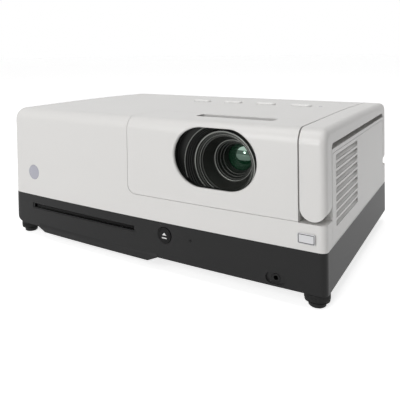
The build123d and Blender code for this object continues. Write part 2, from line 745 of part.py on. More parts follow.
with BuildPart() as zoom_lens:
    with BuildSketch(Plane(origin=(lens_x, 0, lens_z), z_dir=(0, 0, 1))):
        with BuildLine():
            dome = ThreePointArc((0, y0), (lens_seat_radius / 2, y0 + 0.6), (lens_seat_radius + 5.95, y0 + 2.2))
            Polyline(dome @ 1, (lens_seat_radius + 5.95, y0 + 6), (0, y0 + 6), dome @ 0)
        make_face()
    revolve(axis=Axis((lens_x, 0, lens_z), (0, 1, 0)))
save(zoom_lens, "zoom_lens")

# ---- middle frame and what stands on it ---------------------------------------
plate_top = frame_z + frame_plate
engine_left, engine_right = engine_x - engine_width / 2, engine_x + engine_width / 2
engine_rear_y = engine_y + engine_depth / 2
board_x0, board_x1, board_y0, board_y1 = -148.0, 66.0, 44.0, 110.0
power_x0, power_x1, power_y0, power_y1 = -138.0, 20.0, -38.0, 88.0
ballast_x0, ballast_x1, ballast_y0, ballast_y1 = -140.0, -30.0, -104.0, -50.0
lamp_x0, lamp_x1, lamp_y0, lamp_y1 = 127.0, 161.0, -12.0, 58.0
lamp_z = split_z + 42.0

with BuildPart() as mid_frame:
    add(block(-153.0, 153.0, -105.0, 112.0, frame_z, plate_top))
    for x, y in case_screw_places:
        add(post(x, y, frame_z, plate_top, screw_boss_radius + 1), mode=Mode.SUBTRACT)
    # open middle for air and cables
    add(block(40.0, 112.0, -95.0, -35.0, frame_z, plate_top), mode=Mode.SUBTRACT)
    add(block(-128.0, -18.0, -46.0, 34.0, frame_z, plate_top), mode=Mode.SUBTRACT)
    for x in (board_x0 + 6, board_x1 - 6):
        for y in (board_y0 + 6, board_y1 - 6):
            add(leg(x, y, plate_top, main_board_z))
    for x in (power_x0 + 5, power_x1 - 5):
        for y in (power_y0 + 5, 38.0):
            add(leg(x, y, plate_top, power_board_z))
    for x in (ballast_x0 + 5, ballast_x1 - 5):
        for y in (ballast_y0 + 5, ballast_y1 - 5):
            add(leg(x, y, plate_top, plate_top + 6))
    for x in (engine_left + 8, engine_right - 8):
        for y in (engine_front_y + 8, engine_rear_y - 34):
            add(leg(x, y, plate_top, engine_z))
    for y in (lamp_y0 + 8, lamp_y1 - 8):
        add(leg(lamp_x0 + 10, y, plate_top, lamp_z - 26))
save(mid_frame, "mid_frame")

engine_wall = 3.0
with BuildPart() as optical_engine:
    add(block(engine_left, engine_right, engine_front_y, engine_rear_y, engine_z, engine_z + engine_height))
    add(block(engine_left - 1, engine_x - 12, engine_y + 12, engine_rear_y + 1, engine_z - 1, engine_z + 80),
        mode=Mode.SUBTRACT)
    add(block(engine_left + engine_wall, engine_right - engine_wall, engine_front_y + engine_wall,
              engine_y + 12 - engine_wall, engine_z + engine_wall, engine_z + engine_height - engine_wall),
        mode=Mode.SUBTRACT)
    add(block(engine_x - 12 + engine_wall, engine_right - engine_wall, engine_front_y + engine_wall,
              engine_rear_y - engine_wall, engine_z + engine_wall, engine_z + engine_height - engine_wall),
        mode=Mode.SUBTRACT)
    add(bar_y(lens_x, lens_z, engine_front_y - 1, engine_front_y + engine_wall + 1, 22.0), mode=Mode.SUBTRACT)
    add(bar_x(engine_y, lamp_z, engine_right - engine_wall - 1, engine_right + 1, 12.0), mode=Mode.SUBTRACT)
    for i in range(5):
        y = engine_front_y + 12 + i * 12
        add(block(engine_left + 4, engine_right - 4, y, y + 2, engine_z + engine_height - 1,
                  engine_z + engine_height + 2.4))
save(optical_engine, "optical_engine")

with BuildPart() as lamp_housing:
    add(block(lamp_x0, lamp_x1, lamp_y0, lamp_y1, lamp_z - 26, lamp_z + 26))
    add(block(lamp_x0 + 2, lamp_x1 - 2, lamp_y0 + 2, lamp_y1 - 2, lamp_z - 24, lamp_z + 24), mode=Mode.SUBTRACT)
    add(bar_x(engine_y, lamp_z, lamp_x0 - 1, lamp_x0 + 3, 21.0), mode=Mode.SUBTRACT)
    for i in range(5):
        z = lamp_z - 16 + i * 8
        add(block(lamp_x0 + 8, lamp_x1 - 6, lamp_y0 - 1, lamp_y0 + 3, z - 2, z + 2), mode=Mode.SUBTRACT)
save(lamp_housing, "lamp_housing")

with BuildPart() as lamp_bulb:
    with BuildSketch(Plane(origin=(lamp_x0, engine_y, lamp_z), x_dir=(1, 0, 0), z_dir=(0, -1, 0))):
        with BuildLine():
            bowl = Spline((0.2, 20.8), (14, 16), (20, 8))
            Polyline(bowl @ 1, (31.8, 8), (31.8, 0), (3, 0), (3, 3), (19, 3), (19, 6))
            Polyline((19, 6), (13, 14), (0.2, 18.6), bowl @ 0)
        make_face()
    revolve(axis=Axis((lamp_x0, engine_y, lamp_z), (1, 0, 0)))
save(lamp_bulb, "lamp_bulb")

with BuildPart() as ballast:
    z0 = plate_top + 6
    add(block(ballast_x0, ballast_x1, ballast_y0, ballast_y1, z0, z0 + board))
    add(block(ballast_x0 + 14, ballast_x0 + 44, ballast_y0 + 12, ballast_y1 - 10, z0 + board, z0 + 24))
    add(block(ballast_x1 - 40, ballast_x1 - 14, ballast_y0 + 14, ballast_y1 - 14, z0 + board, z0 + 20))
    for i in range(3):
        add(post(ballast_x0 + 56, ballast_y0 + 14 + i * 13, z0 + board, z0 + 22, 5.0))
save(ballast, "ballast")

with BuildPart() as main_board:
    z0 = main_board_z + board
    add(block(board_x0, board_x1, board_y0, board_y1, main_board_z, z0))
    add(block(-104.0, -76.0, 62.0, 90.0, z0, z0 + 2.4))
    for i in range(7):
        add(block(-104.0 + i * 4.4, -102.4 + i * 4.4, 62.0, 90.0, z0 + 2.4, z0 + 12))
    for i in range(4):
        add(block(-66.0 + i * 16, -54.0 + i * 16, 56.0, 74.0, z0, z0 + 1.2))
    add(block(-140.0, -120.0, 58.0, 66.0, z0, z0 + 8))
save(main_board, "main_board")

with BuildPart() as power_supply:
    z0 = power_board_z + board
    add(block(power_x0, power_x1, power_y0, power_y1, power_board_z, z0))
    add(block(-70.0, -38.0, -20.0, 14.0, z0, z0 + 26))
    add(post(-108.0, 20.0, z0, z0 + 36, 14.0))
    add(post(-108.0, 52.0, z0, z0 + 24, 9.0))
    for i in range(4):
        add(post(-10.0, -20.0 + i * 16, z0, z0 + 20, 6.0))
    for x in (-128.0, 6.0):
        add(block(x, x + 3, -30.0, 50.0, z0, z0 + 30))
save(power_supply, "power_supply")

# ---- disc player --------------------------------------------------------------
drive_x0, drive_x1 = disc_x - drive_width / 2, disc_x + drive_width / 2
drive_top = drive_z + drive_height
pickup_half = 20.0
screw_x = disc_x + 32.0
screw_y0, screw_y1 = -22.0, 31.0

with BuildPart() as drive_chassis:
    add(block(drive_x0, drive_x1, drive_front_y, drive_rear_y, drive_z, drive_top))
    add(block(drive_x0 + sheet, drive_x1 - sheet, drive_front_y + sheet, drive_rear_y - sheet, drive_z + sheet,
              drive_top + 1), mode=Mode.SUBTRACT)
    add(block(disc_x - disc_radius - 3, disc_x + disc_radius + 3, drive_front_y - 1, drive_front_y + 2,
              slot_z - slot_height / 2 - 0.6, drive_top + 1), mode=Mode.SUBTRACT)
    # bridges that hold the pickup rods, and ears for the roller shaft
    for y in (rod_y, rod_y + rod_length - 3):
        for side in (-1, 1):
            x = disc_x + side * rod_spread / 2
            add(block(x - 3, x + 3, y, y + 3, drive_z + sheet, rod_z + 3))
    for side in (-1, 1):
        add(bar_y(disc_x + side * rod_spread / 2, rod_z, rod_y, rod_y + rod_length, shaft_radius),
            mode=Mode.SUBTRACT)
        add(bar_x(roller_y, roller_z, disc_x + side * (drive_width / 2 - sheet - 3),
                  disc_x + side * drive_width / 2, 3.6) if side > 0 else
            bar_x(roller_y, roller_z, drive_x0, drive_x0 + sheet + 3, 3.6))
    for y in (screw_y0 - 3, screw_y1):
        add(block(screw_x - 3, screw_x + 3, y, y + 3, drive_z + sheet, rod_z + 3))
    add(bar_y(screw_x, rod_z, screw_y0 - 4, screw_y1 + 4, shaft_radius + running_gap), mode=Mode.SUBTRACT)
    add(bar_x(roller_y, roller_z, drive_x0 - 1, drive_x1 + 1, shaft_radius + running_gap), mode=Mode.SUBTRACT)
save(drive_chassis, "drive_chassis")

with BuildPart() as drive_cover:
    add(block(drive_x0, drive_x1, drive_front_y, drive_rear_y, drive_top, drive_top + sheet))
    add(post(disc_x, disc_y, drive_top - 1, drive_top + 2, 24.0), mode=Mode.SUBTRACT)
    # guide ribs above the disc's path
    for x in (drive_x0 + sheet + 0.6, drive_x1 - sheet - 2.6):
        add(block(x, x + 2, drive_front_y + 4, drive_rear_y - 4, drive_top - 2, drive_top))
save(drive_cover, "drive_cover")

with BuildPart() as spindle_motor:
    add(post(disc_x, disc_y, drive_z + sheet, turntable_z - 1.4, 12.5))
    add(post(disc_x, disc_y, drive_z + sheet + 2, turntable_z, spindle_radius + running_gap), mode=Mode.SUBTRACT)
save(spindle_motor, "spindle_motor")

with BuildPart() as turntable:
    add(post(disc_x, disc_y, turntable_z - 1.0, turntable_z + turntable_height, turntable_radius))
    add(post(disc_x, disc_y, turntable_z + turntable_height - 0.6, turntable_z + turntable_height,
             turntable_radius - 2), mode=Mode.SUBTRACT)
    add(post(disc_x, disc_y, turntable_z, turntable_z + turntable_height, 7.4))
    add(post(disc_x, disc_y, drive_z + sheet + 2.2, turntable_z, spindle_radius))
save(turntable, "turntable")

with BuildPart() as pickup_rods:
    for side in (-1, 1):
        add(bar_y(disc_x + side * rod_spread / 2, rod_z, rod_y, rod_y + rod_length, shaft_radius))
save(pickup_rods, "pickup_rods")

with BuildPart() as laser_pickup:
    y0, y1 = pickup_y - pickup_length / 2, pickup_y + pickup_length / 2
    add(block(disc_x - pickup_half, disc_x + pickup_half, y0, y1, rod_z - 3.5, rod_z + 3.0))
    add(block(disc_x + pickup_half - 1, screw_x + 4, pickup_y - 2, pickup_y + 4, rod_z - 3.2, rod_z + 3.2))
    add(block(disc_x - 8, disc_x + 8, y0, y0 + 14, rod_z + 3, rod_z + 5.0))
    add(post(disc_x, y0 + 4, rod_z + 4.5, rod_z + 6.5, 3.6))
    for side in (-1, 1):
        add(bar_y(disc_x + side * rod_spread / 2, rod_z, y0 - 1, y1 + 1, shaft_radius + running_gap),
            mode=Mode.SUBTRACT)
    add(bar_y(screw_x, rod_z, y0, y1, shaft_radius + running_gap), mode=Mode.SUBTRACT)
save(laser_pickup, "laser_pickup")

with BuildPart() as pickup_screw:
    add(bar_y(screw_x, rod_z, screw_y0 - 3, screw_y1 + 5, shaft_radius))
    add(bar_y(screw_x, rod_z, screw_y1 + 3.2, screw_y1 + 5.6, 4.4))
save(pickup_screw, "pickup_screw")

with BuildPart() as loading_roller:
    half = roller_length / 2
    with BuildSketch(Plane(origin=(disc_x, roller_y, roller_z), x_dir=(1, 0, 0), z_dir=(0, -1, 0))):
        with BuildLine():
            Polyline((-half, shaft_radius), (-half, roller_radius), (roller_band - half, roller_radius),
                     (roller_band - half, roller_waist), (half - roller_band, roller_waist),
                     (half - roller_band, roller_radius), (half, roller_radius), (half, shaft_radius),
                     (drive_width / 2, shaft_radius), (drive_width / 2, 0), (-drive_width / 2, 0),
                     (-drive_width / 2, shaft_radius), close=True)
        make_face()
    revolve(axis=Axis((disc_x, roller_y, roller_z), (1, 0, 0)))
save(loading_roller, "loading_roller")

# ---- front controls -----------------------------------------------------------
front_board_y = -108.5
with BuildPart() as front_board:
    add(block(20.0, 140.0, front_board_y, front_board_y + board, floor_top + 0.2, base_z + 29))
    add(block(eject_x - 3.2, eject_x + 3.2, front_board_y - 3.4, front_board_y, eject_z - 3.2, eject_z + 3.2))
    add(block(60.0, 84.0, front_board_y + board, front_board_y + board + 3, base_z + 12, base_z + 22))
save(front_board, "front_board")

with BuildPart() as eject_button:
    y = front_at(eject_x)
    flange_y = front_at(eject_x + eject_radius, wall) + 0.3
    add(bar_y(eject_x, eject_z, y - 0.5, front_board_y - 3.5 - eject_travel, eject_radius))
    add(bar_y(eject_x, eject_z, flange_y, flange_y + 1.5, eject_radius + 1.6))
    # eject sign, and the groove round it, sunk into the face
    with BuildSketch(Plane.XZ.offset(0.5 - sign_depth - y)) as sign:
        with Locations((eject_x, eject_z)):
            Circle(eject_radius - 1.0)
            Circle(eject_radius - 1.6, mode=Mode.SUBTRACT)
            with Locations((0, 1.0)):
                Triangle(a=5.2, B=48, C=48)
            with Locations((0, -2.3)):
                Rectangle(5.2, 1.1)
    extrude(amount=beyond, mode=Mode.SUBTRACT)
save(eject_button, "eject_button")

with BuildPart() as disc_light:
    y = front_at(disc_light_x)
    add(bar_y(disc_light_x, eject_z, y - 0.1, front_board_y, disc_light_radius))
save(disc_light, "disc_light")

with BuildPart() as headphone_jack:
    y = front_at(jack_x)
    add(block(jack_x - 6, jack_x + 6, front_at(jack_x + 7, wall) + 0.1, front_board_y, floor_top + 0.2, jack_z + 5))
    add(bar_y(jack_x, jack_z, y + 1.2, front_board_y, jack_radius + 1.6))
    add(bar_y(jack_x, jack_z, y, front_board_y - 1, jack_radius), mode=Mode.SUBTRACT)
save(headphone_jack, "headphone_jack")

with BuildPart() as sensor_window:
    y = front_at(sensor_x)
    add(bar_y(sensor_x, sensor_z, y, y + 4, sensor_radius))
    add(bar_y(sensor_x, sensor_z, front_at(abs(sensor_x) + 10, wall) + 0.1, y + 5.5, sensor_radius + 1.4))
save(sensor_window, "sensor_window")

with BuildPart() as badge_plate:
    with BuildSketch(Plane.XZ.offset(-front_at(badge_x - badge_width / 2))) as face:
        with Locations((badge_x, badge_z)):
            RectangleRounded(badge_width, badge_height, 1.0)
    extrude(amount=0.9)
save(badge_plate, "badge_plate")

key_board_z = top_z - 9.0
with BuildPart() as key_board:
    end_x = key_first_x + 3.5 * key_pitch + 6
    add(block(key_first_x - 12, end_x, key_y - 9, key_y + 9, key_board_z - board, key_board_z))
    for i in range(len(key_names)):
        x = key_first_x + i * key_pitch
        add(block(x - 3, x + 3, key_y - 3, key_y + 3, key_board_z, key_board_z + 2.4))
save(key_board, "key_board")

key_top = top_at(key_y)
for i, label in enumerate(key_names):
    with BuildPart() as key:
        x = key_first_x + i * key_pitch
        with BuildSketch(Plane.XY.offset(key_top - wall - 1.2)):
            with Locations((x, key_y)):
                SlotOverall(key_length, key_width)
        extrude(amount=wall + 1.2 + key_rise)
        chamfer(key.edges().group_by(Axis.Z)[-1], key_edge)
        with BuildSketch(Plane.XY.offset(key_top - wall - 1.4)):
            with Locations((x, key_y)):
                SlotOverall(key_length + 3, key_width + 3)
        extrude(amount=1.0)
        add(post(x, key_y, key_board_z + 2.5 + key_travel, key_top - wall, 2.0))
    save(key, label)

with BuildPart() as status_light:
    add(post(key_first_x + 3.5 * key_pitch, key_y, key_board_z, key_top + 0.3, 2.0))
save(status_light, "status_light")

# ---- feet ---------------------------------------------------------------------
for side, name in ((-1, "left_foot"), (1, "right_foot")):
    x = side * foot_x
    with BuildPart() as pad:
        add(post(x, foot_y, 0, wheel_z, pad_radius))
        chamfer(pad.edges().group_by(Axis.Z)[0], 0.8)
        add(post(x, foot_y, 1, wheel_z + 3, 2.0))
    save(pad, f"{name}_pad")
    with BuildPart() as wheel:
        add(post(x, foot_y, wheel_z, wheel_z + wheel_height, wheel_radius))
        chamfer(wheel.edges().group_by(Axis.Z)[0], wheel_edge)
        chamfer(wheel.edges().group_by(Axis.Z)[-1], wheel_edge / 2)
        add(post(x, foot_y, wheel_z, base_z + stud_length - 6, stud_radius))
        add(post(x, foot_y, wheel_z, wheel_z + 3.1, 2.0 + running_gap), mode=Mode.SUBTRACT)
    save(wheel, f"{name}_wheel")

with BuildPart() as rear_feet:
    for side in (-1, 1):
        with BuildSketch():
            with Locations((side * rear_foot_x, rear_foot_y)):
                Circle(rear_foot_radius)
        extrude(amount=base_z)
    chamfer(rear_feet.edges().group_by(Axis.Z)[0], 1.0)
save(rear_feet, "rear_feet")

# ---- fans ---------------------------------------------------------------------
def fan_frame(size, deep):
    """A square fan frame lying flat, its motor stub carried on four arms."""
    radius = size / 2 - 1.2
    with BuildPart(mode=Mode.PRIVATE) as frame:
        with BuildSketch():
            Rectangle(size, size)
            Circle(radius, mode=Mode.SUBTRACT)
        extrude(amount=deep)
        with BuildSketch():
            Circle(size * 0.2)
            for i in range(2):
                with Locations(Rotation(0, 0, 45 + i * 90)):
                    Rectangle(2 * radius + 1.5, 3)
        extrude(amount=2)
        Cylinder(shaft_radius, deep - 4, align=(Align.CENTER, Align.CENTER, Align.MIN))
    return frame.part


def fan_rotor(size, deep):
    """A fan's hub and its pitched blades, lying flat."""
    radius = size / 2 - 2.4
    hub = size * 0.19
    with BuildPart(mode=Mode.PRIVATE) as rotor:
        with Locations((0, 0, 3)):
            Cylinder(hub, deep - 4, align=(Align.CENTER, Align.CENTER, Align.MIN))
        for i in range(blades):
            turn = Location((0, 0, 1 + deep / 2), (0, 0, i * 360 / blades))
            with Locations(turn * Location(((hub + radius) / 2 - 0.4, 0, 0), (40, 0, 0))):
                Box(radius - hub + 0.8, 1.4, deep - 9)
        with Locations((0, 0, 0)):
            Cylinder(shaft_radius + running_gap, deep - 3, align=(Align.CENTER, Align.CENTER, Align.MIN),
                     mode=Mode.SUBTRACT)
    return rotor.part


exhaust_place = Location((right_x - panel_wall - exhaust_depth - 0.2, louvre_y, exhaust_z), (0, 90, 0))
intake_place = Location((-right_x + wall + 5.5, intake_y, intake_z), (0, 90, 0))
for label, shape in (("exhaust_fan_frame", fan_frame(exhaust_size, exhaust_depth).moved(exhaust_place)),
                     ("exhaust_fan_impeller", fan_rotor(exhaust_size, exhaust_depth).moved(exhaust_place)),
                     ("intake_fan_frame", fan_frame(intake_size, intake_depth).moved(intake_place)),
                     ("intake_fan_impeller", fan_rotor(intake_size, intake_depth).moved(intake_place))):
    with BuildPart() as fan:
        add(shape)
    save(fan, label)

with BuildPart() as air_filter:
    x0 = -right_x + wall + 0.2
    add(block(x0, x0 + 5, intake_y - 37, intake_y + 37, intake_z - 28, intake_z + 28))
save(air_filter, "air_filter")

# ---- back ---------------------------------------------------------------------
with BuildPart() as speakers:
    for side in (-1, 1):
        with BuildSketch(Plane(origin=(side * speaker_x, rear_y - wall, speaker_z), z_dir=(0, 0, 1))):
            with BuildLine():
                Polyline((0, -24), (10, -24), (10, -16), (speaker_radius, -3), (speaker_radius, -0.1),
                         (speaker_radius - 2, -0.1), (6, -10), (0, -8), close=True)
            make_face()
        revolve(axis=Axis((side * speaker_x, rear_y, speaker_z), (0, 1, 0)))
save(speakers, "speakers")

with BuildPart() as mains_inlet:
    y = socket_face
    add(block(inlet_x - inlet_width / 2, inlet_x + inlet_width / 2, y - 26, y, inlet_z - inlet_height / 2,
              inlet_z + inlet_height / 2))
    with BuildSketch(Plane.XZ.offset(-y - 1.6)) as flange:
        with Locations((inlet_x, inlet_z)):
            RectangleRounded(inlet_width + 5, inlet_height + 5, 2)
    extrude(amount=1.6)
    with BuildSketch(Plane.XZ.offset(-y - 2)) as mouth:
        with Locations((inlet_x, inlet_z)):
            Rectangle(24.0, 16.4)
        chamfer(mouth.vertices().group_by(Axis.Y)[0], 5.0)
    extrude(amount=19, mode=Mode.SUBTRACT)
    for x, z in ((-7, -1), (0, 3), (7, -1)):
        add(block(inlet_x + x - 1, inlet_x + x + 1, y - 24, y - 4, inlet_z + z - 2, inlet_z + z + 2))
save(mains_inlet, "mains_inlet")

with BuildPart() as rca_sockets:
    for i in range(rca_count):
        x = rca_first_x + i * rca_pitch
        add(block(x - 6.5, x + 6.5, board_y1 - 10, bay_y - 3, main_board_z + board, socket_z + 6.5))
        add(bar_y(x, socket_z, bay_y - 4, socket_face, socket_collar))
        add(bar_y(x, socket_z, bay_y - 4, socket_reach, socket_radius))
        add(bar_y(x, socket_z, bay_y - 2, socket_reach + 1, 1.65), mode=Mode.SUBTRACT)
save(rca_sockets, "rca_sockets")

with BuildPart() as vga_socket:
    add(block(vga_x - 15.4, vga_x + 15.4, bay_y - 3.4, socket_face - 0.2, socket_z - 6.2, socket_z + 6.2))
    add(block(vga_x - 13, vga_x + 13, board_y1 - 8, bay_y - 3, main_board_z + board, socket_z + 5.6))
    with BuildSketch(Plane.XZ.offset(-socket_face - 6)) as shell:
        with Locations((vga_x, socket_z)):
            Rectangle(16.9, 8.3)
        fillet(shell.vertices(), 1.8)
    extrude(amount=7)
    for side in (-1, 1):
        add(bar_y(vga_x + side * 12.5, socket_z, bay_y - 3, socket_face + 4, 2.4))
save(vga_socket, "vga_socket")

with BuildPart() as case_screws:
    for x, y in case_screw_places:
        z0 = base_z + wall + 6
        add(post(x, y, z0 - screw_head, z0, screw_head_radius))
        add(post(x, y, z0, split_z + screw_boss - 4, screw_radius))
save(case_screws, "case_screws")
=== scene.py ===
# A table-top projector with a slot-loading disc player in its dark base, dressed for a
# product picture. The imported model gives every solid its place. This script gives the solids
# their finishes and adds the ribbed rings, trim bands, felts, sign, blades and socket rings.
import math

import bpy
from mathutils import Matrix, Vector


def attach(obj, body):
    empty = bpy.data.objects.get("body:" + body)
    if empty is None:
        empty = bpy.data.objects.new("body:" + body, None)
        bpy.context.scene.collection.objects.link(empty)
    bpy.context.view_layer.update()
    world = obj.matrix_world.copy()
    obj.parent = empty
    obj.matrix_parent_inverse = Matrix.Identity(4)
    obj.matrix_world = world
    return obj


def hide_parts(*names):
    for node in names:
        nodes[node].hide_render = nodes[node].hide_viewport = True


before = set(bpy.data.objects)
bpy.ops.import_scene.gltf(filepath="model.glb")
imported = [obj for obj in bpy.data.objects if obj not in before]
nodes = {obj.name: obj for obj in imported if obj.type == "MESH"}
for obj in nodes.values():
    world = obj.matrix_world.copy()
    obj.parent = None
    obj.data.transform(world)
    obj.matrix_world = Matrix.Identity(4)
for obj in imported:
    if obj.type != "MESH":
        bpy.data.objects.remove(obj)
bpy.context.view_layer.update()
MM = 0.001

# ---- camera --------------------------------------------------------------------
# Solved from the case's edges, its feet and its round parts. The upright edges of the case
# stay parallel in the picture, so the camera looks almost level and the film is shifted.
CAMERA_PLACE = (0.27112, -0.48279, 0.19573)
YAW, PITCH, ROLL = math.radians(33.10), math.radians(1.37), math.radians(-0.93)
FILM_WIDTH = 36.0
FOCAL_LENGTH = 44.73
FILM_SHIFT_X, FILM_SHIFT_Y = 0.0796, -0.342


def set_camera():
    """Stand the camera at the picture's viewing angle."""
    ahead = Vector((-math.sin(YAW) * math.cos(PITCH), math.cos(YAW) * math.cos(PITCH), -math.sin(PITCH)))
    right = Vector((math.cos(YAW), math.sin(YAW), 0.0))
    up = right.cross(ahead)
    right_rolled = right * math.cos(ROLL) + up * math.sin(ROLL)
    up_rolled = up * math.cos(ROLL) - right * math.sin(ROLL)
    camera_data = bpy.data.cameras.new("camera")
    camera_data.sensor_width = FILM_WIDTH
    camera_data.lens = FOCAL_LENGTH
    camera_data.shift_x = FILM_SHIFT_X
    camera_data.shift_y = FILM_SHIFT_Y
    camera = bpy.data.objects.new("camera", camera_data)
    bpy.context.scene.collection.objects.link(camera)
    turn = Matrix((right_rolled, up_rolled, -ahead)).transposed().to_4x4()
    camera.matrix_world = Matrix.Translation(CAMERA_PLACE) @ turn
    bpy.context.scene.camera = camera
    bpy.context.scene.view_settings.view_transform = "Standard"


set_camera()

# ---- materials -----------------------------------------------------------------
MOTTLE_SCALE = 14.0
GLOSS_LOW, GLOSS_HIGH = 0.88, 1.14
EDGE_ROUNDING = 0.0006
EDGE_SAMPLES = 6
GRAIN_HEIGHT = 0.0002
COAT_ROUGHNESS = 0.12
BAND_LENGTH = 0.314  # of one wave band at a scale of 1, in metres
RING_HEIGHT = 0.0005
LENS_X, LENS_Z = 81.5, 99.5


def new_material(name):
    """A node material, with its tree and its shader."""
    material = bpy.data.materials.new(name)
    material.use_nodes = True
    tree = material.node_tree
    return material, tree, tree.nodes["Principled BSDF"]


def moulded(name, colour, rough, grain=900.0, depth=0.06, speck=0.03, coat=0.0, metal=0.0, shine=0.5):
    """Moulded, painted or turned skin: fine grain, slight mottling, softened edges."""
    material, tree, shader = new_material(name)
    link = tree.links.new
    place = tree.nodes.new("ShaderNodeTexCoord")
    fine = tree.nodes.new("ShaderNodeTexNoise")
    fine.inputs["Scale"].default_value = grain
    fine.inputs["Detail"].default_value = 3.0
    broad = tree.nodes.new("ShaderNodeTexNoise")
    broad.inputs["Scale"].default_value = MOTTLE_SCALE
    broad.inputs["Detail"].default_value = 2.0
    link(place.outputs["Object"], fine.inputs["Vector"])
    link(place.outputs["Object"], broad.inputs["Vector"])
    shade = tree.nodes.new("ShaderNodeMix")
    shade.data_type = "RGBA"
    shade.inputs["A"].default_value = (*[c * (1.0 - speck) for c in colour], 1.0)
    shade.inputs["B"].default_value = (*[min(c * (1.0 + speck), 1.0) for c in colour], 1.0)
    link(broad.outputs["Fac"], shade.inputs["Factor"])
    link(shade.outputs["Result"], shader.inputs["Base Color"])
    gloss = tree.nodes.new("ShaderNodeMapRange")
    gloss.inputs["To Min"].default_value = rough * GLOSS_LOW
    gloss.inputs["To Max"].default_value = min(rough * GLOSS_HIGH, 1.0)
    link(fine.outputs["Fac"], gloss.inputs["Value"])
    link(gloss.outputs["Result"], shader.inputs["Roughness"])
    rounding = tree.nodes.new("ShaderNodeBevel")
    rounding.samples = EDGE_SAMPLES
    rounding.inputs["Radius"].default_value = EDGE_ROUNDING
    bump = tree.nodes.new("ShaderNodeBump")
    bump.inputs["Strength"].default_value = depth
    bump.inputs["Distance"].default_value = GRAIN_HEIGHT
    link(fine.outputs["Fac"], bump.inputs["Height"])
    link(rounding.outputs["Normal"], bump.inputs["Normal"])
    link(bump.outputs["Normal"], shader.inputs["Normal"])
    shader.inputs["Metallic"].default_value = metal
    shader.inputs["Specular IOR Level"].default_value = shine
    shader.inputs["Coat Weight"].default_value = coat
    shader.inputs["Coat Roughness"].default_value = COAT_ROUGHNESS
    return material


def ringed(name, colour, rough, pitch, depth, metal=0.0):
    """A turned surface with fine rings across the lens's axis."""
    material = moulded(name, colour, rough, depth=0.03, metal=metal, shine=0.2)
    tree = material.node_tree
    link = tree.links.new
    grain_bump = next(n for n in tree.nodes if n.bl_idname == "ShaderNodeBump")
    place = next(n for n in tree.nodes if n.bl_idname == "ShaderNodeTexCoord")
    centring = tree.nodes.new("ShaderNodeMapping")
    centring.inputs["Location"].default_value = (-LENS_X * MM, 0.0, -LENS_Z * MM)
    rings = tree.nodes.new("ShaderNodeTexWave")
    rings.wave_type = "BANDS"
    rings.bands_direction = "Y"
    rings.inputs["Scale"].default_value = BAND_LENGTH / pitch
    rings.inputs["Distortion"].default_value = 0.0
    link(place.outputs["Object"], centring.inputs["Vector"])
    link(centring.outputs["Vector"], rings.inputs["Vector"])
    ring_bump = tree.nodes.new("ShaderNodeBump")
    ring_bump.inputs["Strength"].default_value = depth
    ring_bump.inputs["Distance"].default_value = RING_HEIGHT
    link(rings.outputs["Fac"], ring_bump.inputs["Height"])
    link(grain_bump.outputs["Normal"], ring_bump.inputs["Normal"])
    link(ring_bump.outputs["Normal"], tree.nodes["Principled BSDF"].inputs["Normal"])
    return material


def coated_glass(name, tint):
    """Dark coated optical glass that shows a green reflection."""
    material, tree, shader = new_material(name)
    shader.inputs["Base Color"].default_value = (*tint, 1.0)
    shader.inputs["Roughness"].default_value = 0.02
    shader.inputs["IOR"].default_value = 1.6
    shader.inputs["Coat Weight"].default_value = 1.0
    shader.inputs["Coat Roughness"].default_value = 0.02
    shader.inputs["Coat Tint"].default_value = (0.55, 1.0, 0.75, 1.0)
    place = tree.nodes.new("ShaderNodeTexCoord")
    smear = tree.nodes.new("ShaderNodeTexNoise")
    smear.inputs["Scale"].default_value = 60.0
    polish = tree.nodes.new("ShaderNodeBump")
    polish.inputs["Strength"].default_value = 0.01
    tree.links.new(place.outputs["Object"], smear.inputs["Vector"])
    tree.links.new(smear.outputs["Fac"], polish.inputs["Height"])
    tree.links.new(polish.outputs["Normal"], shader.inputs["Normal"])
    return material


def gloss_ring(name, colour):
    """The bright plastic that marks a socket."""
    return moulded(name, colour, 0.40, grain=900.0, depth=0.05)


white = moulded("pearl_white_case", (0.70, 0.69, 0.675), 0.42, grain=1400.0, depth=0.05, speck=0.012,
                coat=0.15)
key_white = moulded("white_keys", (0.78, 0.775, 0.76), 0.30, grain=1600.0, depth=0.04, speck=0.01, coat=0.2)
print_white = moulded("white_print", (0.78, 0.78, 0.77), 0.55, depth=0.05)
border_grey = moulded("grey_print", (0.06, 0.06, 0.065), 0.5, depth=0.05, speck=0.05)
dark = moulded("dark_grey_base", (0.013, 0.013, 0.0132), 0.44, grain=1500.0, depth=0.10, speck=0.06,
               shine=0.18)
button_black = moulded("black_button", (0.004, 0.004, 0.0042), 0.40, grain=1500.0, depth=0.08, speck=0.06,
                       shine=0.15)
black = moulded("black_moulding", (0.006, 0.006, 0.0062), 0.42, grain=1200.0, depth=0.10, speck=0.08,
                shine=0.2)
inner_black = moulded("matt_black_inside", (0.004, 0.004, 0.004), 0.75, depth=0.2, speck=0.1, shine=0.1)
rubber = moulded("foot_rubber", (0.007, 0.007, 0.007), 0.55, grain=700.0, depth=0.25, speck=0.15, shine=0.25)
# Black felt for the disc slot's strips. The same colour is also laid as flat discs of painted shade in the
# monitor socket's contact holes.
felt_and_hole_shade = moulded("black_felt_and_hole_shade", (0.006, 0.006, 0.006), 0.98, grain=2600.0, depth=1.0, speck=0.5)
foam = moulded("filter_foam", (0.03, 0.03, 0.032), 0.95, grain=420.0, depth=1.0, speck=0.4)
trim_metal = moulded("turned_trim", (0.16, 0.165, 0.155), 0.30, grain=700.0, depth=0.04, speck=0.06,
                     metal=1.0)
steel = moulded("plain_steel", (0.50, 0.50, 0.51), 0.30, grain=500.0, depth=0.05, speck=0.05, metal=1.0)
alloy = moulded("cast_alloy", (0.42, 0.43, 0.44), 0.42, grain=350.0, depth=0.25, speck=0.08, metal=1.0)
brass = moulded("plated_contact", (0.62, 0.46, 0.18), 0.28, grain=600.0, depth=0.05, speck=0.05, metal=1.0)
